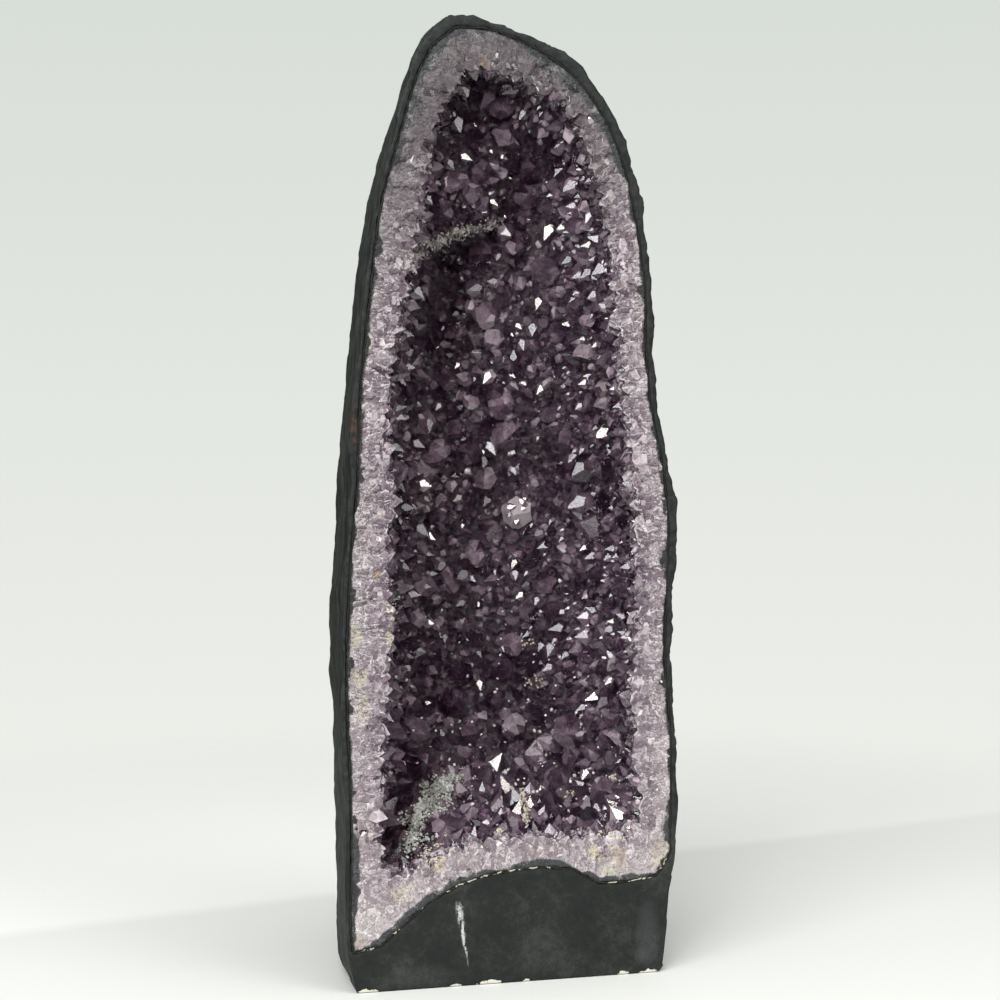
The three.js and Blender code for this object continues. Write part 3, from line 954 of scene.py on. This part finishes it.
def growRim():
    at = np.arange(0, len(hollowRing), rim["step"])
    parts = []
    for reach, depth, width, pale in rim["rows"]:
        here = (at + chance.uniform(-2.5, 2.5, len(at))).astype(int) % len(hollowRing)
        drawn = [chance.uniform(*limits, len(at)) for limits in (reach, depth, width)]
        parts.append(np.column_stack([here, *drawn, np.full(len(at), pale)]))
    here, reach, depth, width, pale = np.vstack(parts).T
    here = here.astype(int)
    inward = towardHollow(here)
    count = len(here)
    sizes = width * mm
    reach = reach + rim["lobes"] * lobesAt(here, hollowRing[here])
    roots = hollowRing[here] + inward * (reach * mm - 0.42 * sizes)[:, None]
    roots[:, 1] += depth * mm + 0.1 * sizes
    axes = inward + chance.normal(0, rim["lean"], (count, 3))
    turns = turnsTo(axes, chance.uniform(0, 2 * math.pi, count))
    tint = np.clip(pale + chance.normal(0, 0.20, count), 0, 1)
    proud = chance.uniform(*rim["proud"], count) * mm
    trim = np.column_stack([proud, chance.normal(0, 0.06, (count, 2))])
    tails = roots - unit(axes) * sizes[:, None] * 0.55
    tails[:, 1] = faceY
    _, room = nearest(rindTree, tails)
    kept = room > 0.5 * sizes  # well inside the stone
    piece = grow("quartz_rimPoints", rimShapes, roots[kept], turns[kept], sizes[kept], tint[kept],
                 chance.random(kept.sum()), 0.2, trim[kept])
    finished(piece, crystalMaterial("paleQuartz", paleLook))


growRim()


# the cement jacket and its foot
jacket = {
    "grain": 2.85 * mm,
    "streak": 0.9,  # heights of its upright streaks, broad lumps and small knobs, in millimetres
    "lump": 1.4,
    "knob": 0.6,
    "lip": -0.2,  # how much wider the lip is all round
    "crumbs": 0.7,  # and how rough its edges are
}


def makeJacket():
    piece, _ = copyNode("cement_jacket", "cementJacket", jacket["grain"])
    finerFront(piece)
    where, facing = arraysOf(piece)
    outside = (np.abs(facing[:, 1]) < 0.995) & (where[:, 2] > 2 * mm)
    streak = grainAt(where, (6, 6, 70), 3.3)
    lump = grainAt(where, (22, 22, 34), 9.1)
    knob = grainAt(where, (9, 9, 12), 5.5)
    # less lumpy near the face
    calm = 0.35 + 0.65 * ramped(where[:, 1], faceY + 12 * mm, faceY + 60 * mm)
    height = jacket["streak"] * streak + calm * jacket["lump"] * lump + jacket["knob"] * knob
    free = ramped(where[:, 1], faceY + 1 * mm, faceY + 9 * mm)
    where += facing * (free * outside * height)[:, None] * mm
    # the lip beside the stone swells and narrows in the plane of the cut
    flat = where.copy()
    flat[:, 1] = faceY
    near, fromRind = nearest(rindTree, flat)
    swell = (1 - free) * ramped(fromRind, 1 * mm, 3.5 * mm) * ramped(where[:, 2], 100 * mm, 125 * mm)
    crumbs = jacket["crumbs"] * grainAt(where, (4.5, 4.5, 4.5), 6.6)
    wider = swell * (0.6 * height + crumbs + jacket["lip"])
    where += unit(flat - rindRing[near]) * wider[:, None] * mm
    moveTo(piece, where)
    paint(piece, "sawn", (where[:, 1] < faceY + 0.6 * mm) & (facing[:, 1] < -0.7))
    piece.data.polygons.foreach_set("use_smooth", [True] * len(piece.data.polygons))
    return piece


# across, width and height
chips = [(-93, 10, 3), (-36, 5, 2.2), (-14, 9, 3.5), (10, 3, 2.6), (74, 5, 3.5), (91, 8, 3.2)]
scratch = {"top": (-34, 52), "bottom": (-28, 13), "width": 3.4}


def cementMaterial():
    m = Maker("paintedCement")
    streaks = m.cloud(4.0, 4.0, 0.6, (1, 1, 0.12))
    smudge = m.cloud(30.0, 4.0, 0.6)
    fine = m.cloud(1.2, 3.0, 0.6)
    middling = m.cloud(5.0, 3.0, 0.6)
    front = m.attribute("sawn")
    calm = 0.25 + (1 - m.behind.eased(15, 60)) * 0.45  # the streaks fade towards the back
    rough = streaks * calm + middling * (0.8 - calm) + smudge * 0.2 + fine * 0.1
    side = m.ramp(rough, (0.44, (0.003, 0.004, 0.003)), (0.55, (0.009, 0.011, 0.009)),
                  (0.70, (0.040, 0.041, 0.036)))
    flat = m.ramp(smudge * 0.5 + fine * 0.3 + middling * 0.25, (0.38, (0.005, 0.006, 0.006)),
                  (0.52, (0.010, 0.012, 0.011)), (0.68, (0.030, 0.033, 0.031)))
    lip = m.ramp(middling * 0.6 + fine * 0.4, (0.40, (0.006, 0.007, 0.007)),
                 (0.62, (0.026, 0.028, 0.029)))
    colour = m.mix(front, side, m.mix(m.up.eased(86, 110), flat, lip))
    front = front * (1 - m.up.eased(86, 110))
    red = m.spot(-96, 350, 6, 15).eased(0.0, 0.4) * middling.eased(0.42, 0.55)
    red = red * (1 - m.behind.eased(5, 14))
    colour = m.mix(red * 0.8, colour, (0.050, 0.028, 0.020))
    # rubbed corner, and smudges of dust
    dust = m.spot(90, 26, 9, 24) * 0.22 + m.spot(-60, 8, 26, 9) * 0.12 + m.spot(86, 12, 6, 6) * 0.2
    colour = m.mix(dust * (fine * 0.6 + 0.3) * front, colour, (0.16, 0.16, 0.165))
    # a scratch through the paint
    (topX, topZ), (bottomX, bottomZ) = scratch["top"], scratch["bottom"]
    line = topX + (topZ - m.up) * ((bottomX - topX) / (topZ - bottomZ)) + (smudge - 0.5) * 6.0
    offLine = (m.across - line).most(line - m.across)
    inside = m.up.eased(bottomZ - 2, bottomZ + 5) * (1 - m.up.eased(topZ - 3, topZ + 3))
    hairs = m.cloud(1.6, 3.0, 0.6, (1, 1, 0.16))
    wide = scratch["width"] * m.up.eased(bottomZ - 10, topZ)
    torn = (hairs * 0.7 + fine * 0.3).eased(0.42, 0.58)
    mark = (1 - (offLine / wide).eased(0.1, 1.0)) * inside * torn * front
    colour = m.mix(mark, colour, (0.46, 0.47, 0.46))
    # chips along the lower front edge, down to white plaster
    spots = [m.spot(x, 0, wide, high) for x, wide, high in chips]
    bare = spots[0]
    for spot in spots[1:]:
        bare = bare.most(spot)
    crumbs = m.cloud(3.0, 3.0, 0.6)
    chipped = (bare + (crumbs - 0.5) * 2.2).eased(0.34, 0.42) * front * (bare * 20).least(1.0)
    colour = m.mix(chipped, colour, (0.62, 0.60, 0.52))
    height = m.node("MapRange", {}, {0: front, 3: 1.0, 4: 0.08}) * streaks
    bump = m.bump(height * 0.8 + fine * 0.25 - chipped * 0.8, 0.5)
    return m.surface({"Base Color": colour, "Roughness": 0.5 + fine * 0.3, "Normal": bump,
                      "Specular IOR Level": 0.25})


joint = {"radius": 0.5 * mm, "uneven": 0.7}  # the bead of cement where jacket meets stone


def makeJoint():
    line = bpy.data.curves.new("joint", "CURVE")
    line.dimensions, line.fill_mode = "3D", "FULL"
    line.bevel_depth, line.bevel_resolution = joint["radius"], 1
    spline = line.splines.new("POLY")
    ring = rindRing[::2]
    ring = ring + chance.normal(0, 0.2, ring.shape) * mm
    spline.points.add(len(ring) - 1)
    spline.points.foreach_set("co", np.column_stack([ring, np.ones(len(ring))]).ravel())
    swell = 1 + joint["uneven"] * grainAt(ring, (7, 7, 7), 4.4) + chance.normal(0, 0.12, len(ring))
    spline.points.foreach_set("radius", swell)
    spline.use_cyclic_u = True
    bead = bpy.data.objects.new("cement_joint", line)
    bpy.context.scene.collection.objects.link(bead)
    pick(bead)
    bpy.ops.object.convert(target="MESH")
    return bpy.context.object


def jointMaterial():
    m = Maker("jointCement")
    blotch, fine = m.cloud(7.0, 3.0), m.cloud(1.0, 3.0)
    flecks = (blotch * 0.8 + m.cloud(1.8) * 0.2).eased(0.545, 0.565)
    plaster = (1 - m.up.eased(78, 92)) * m.across.eased(-98, -90) * flecks
    dark = m.mix(fine, (0.004, 0.005, 0.004), (0.022, 0.023, 0.020))
    colour = m.mix(plaster, dark, m.mix(fine, (0.20, 0.18, 0.12), (0.58, 0.55, 0.45)))
    return m.surface({"Base Color": colour, "Roughness": 0.6 + fine * 0.3, "Normal": m.bump(fine, 0.3),
                      "Specular IOR Level": 0.25})


finished(makeJoint(), jointMaterial())

coat = makeJacket()
finished(coat, cementMaterial(), "cement_jacket")
print("jacket", len(coat.data.polygons), "faces")


studio = {
    "ambient": (0.09, 0.40),  # from below and from above
    "floor": (0.73, 0.745, 0.72),
    "wall": (0.82, 0.84, 0.81),
    "backdrop": ((0.86, 0.875, 0.83), (0.675, 0.715, 0.68)),  # low and high
}


def makeStage():
    bpy.ops.mesh.primitive_plane_add(size=10, location=(0, 0, 0))
    floor = bpy.context.object
    floor.name = "floor"
    m = Maker("paleFloor")
    away = m.node("VectorMath", {"operation": "LENGTH"}, {0: m.place}, "Value")
    inputs = {0: m.place, 1: (-0.243, 0.970, 0)}
    past = m.node("VectorMath", {"operation": "DOT_PRODUCT"}, inputs, "Value")
    tone = m.mix(past.eased(0.175, 0.205), studio["floor"], studio["wall"])
    floor.data.materials.append(m.surface({"Base Color": tone, "Roughness": 0.6,
                                           "Alpha": 1 - away.eased(0.35, 1.05)}))


def addLight(name, where, aim, width, height, power, colour=(1, 1, 1)):
    lamp = bpy.data.lights.new(name, "AREA")
    lamp.shape, lamp.size, lamp.size_y = "RECTANGLE", width, height
    lamp.energy, lamp.color = power, colour
    holder = bpy.data.objects.new(name, lamp)
    bpy.context.scene.collection.objects.link(holder)
    holder.location = where
    holder.rotation_mode = "QUATERNION"
    holder.rotation_quaternion = (Vector(aim) - Vector(where)).to_track_quat("-Z", "Y")


def makeLights():
    world = bpy.context.scene.world or bpy.data.worlds.new("world")
    bpy.context.scene.world = world
    m = Maker("room", world)
    toward = m.node("TexCoord", out="Generated")
    height = m.node("SeparateXYZ", inputs={0: toward}, out="Z")
    height = m.node("MapRange", {}, {0: height, 1: -0.2, 2: 0.2})
    low, high = studio["backdrop"]
    backdrop = m.node("Background", inputs={"Color": m.ramp(height, (0.0, low), (1.0, high))})
    low, high = [(0.97 * tone, tone, tone) for tone in studio["ambient"]]
    room = m.node("Background", inputs={"Color": m.ramp(height, (0.0, low), (1.0, high))})
    seen = m.node("LightPath", out="Is Camera Ray")
    m.output("World", {"Surface": m.node("MixShader", inputs={0: seen, 1: room, 2: backdrop})})
    heart = (0, 0, 0.3)
    addLight("window", windowPlace, heart, 1.3, 1.3, 46, (0.97, 0.985, 1.0))
    addLight("lamp", lampPlace, heart, 0.55, 0.55, 18, (1.0, 0.94, 0.87))
    addLight("fill", fillPlace, heart, 1.3, 1.3, 20, (1.0, 0.98, 0.96))
    addLight("ceiling", (0.0, -0.7, 2.4), (0, -0.2, 0), 2.2, 2.0, 34, (1.0, 0.99, 0.97))


makeStage()
makeLights()
bpy.context.scene.view_settings.view_transform = "Standard"
